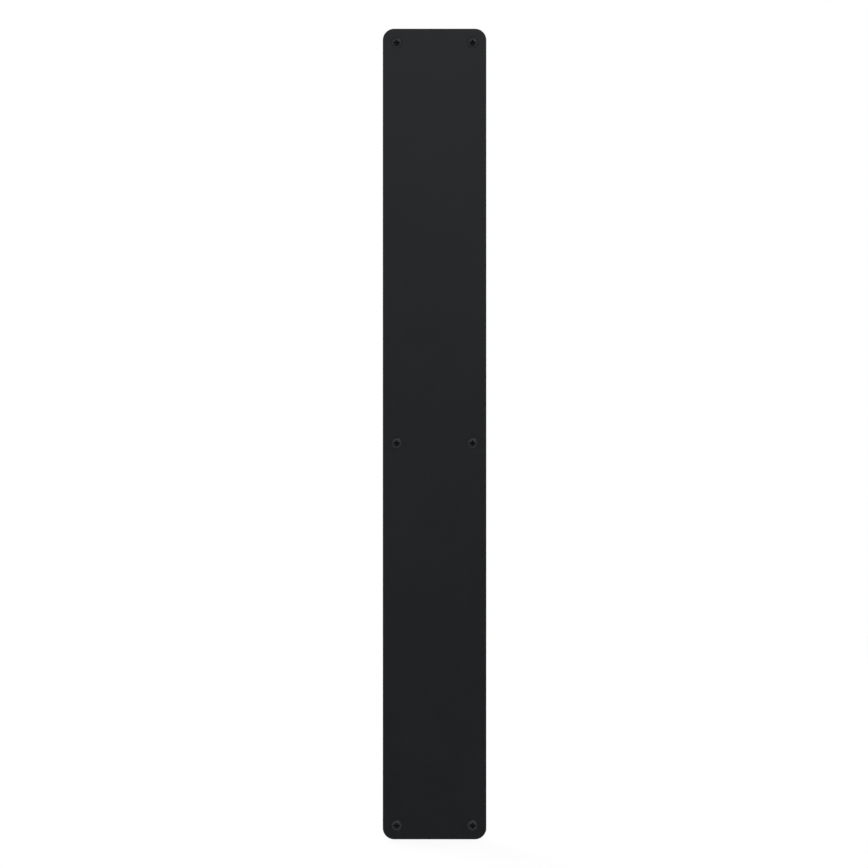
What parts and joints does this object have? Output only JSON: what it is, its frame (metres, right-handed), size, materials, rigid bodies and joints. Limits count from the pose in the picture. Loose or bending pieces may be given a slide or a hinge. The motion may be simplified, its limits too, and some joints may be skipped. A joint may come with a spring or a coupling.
{
  "type": "door kick plate",
  "caption": "Flat rectangular door protection plate with rounded corners, satin black, with raised countersunk cross-recess screws through countersunk holes.",
  "frame": {"origin": "centre of the sheet's back face, the face that lies on the door", "axes": "+Y is the back face's outward normal, into the door, so the finished face looks along -Y; +Z along the long side, +X across. The plate is drawn standing on its short end; on a door it is usually turned a quarter turn about Y, long side level"},
  "size_m": [0.1016, 0.0268, 0.7954],
  "materials": {
    "black_coat": "satin powder coat, near-black, slightly cool",
    "black_screw": "black oxide, a little glossier than the plate"
  },
  "bodies": {
    "root": {"plate": "black_coat", "screw_top_left": "black_screw", "screw_top_right": "black_screw", "screw_middle_left": "black_screw", "screw_middle_right": "black_screw", "screw_bottom_left": "black_screw", "screw_bottom_right": "black_screw"}
  },
  "joints": []
}
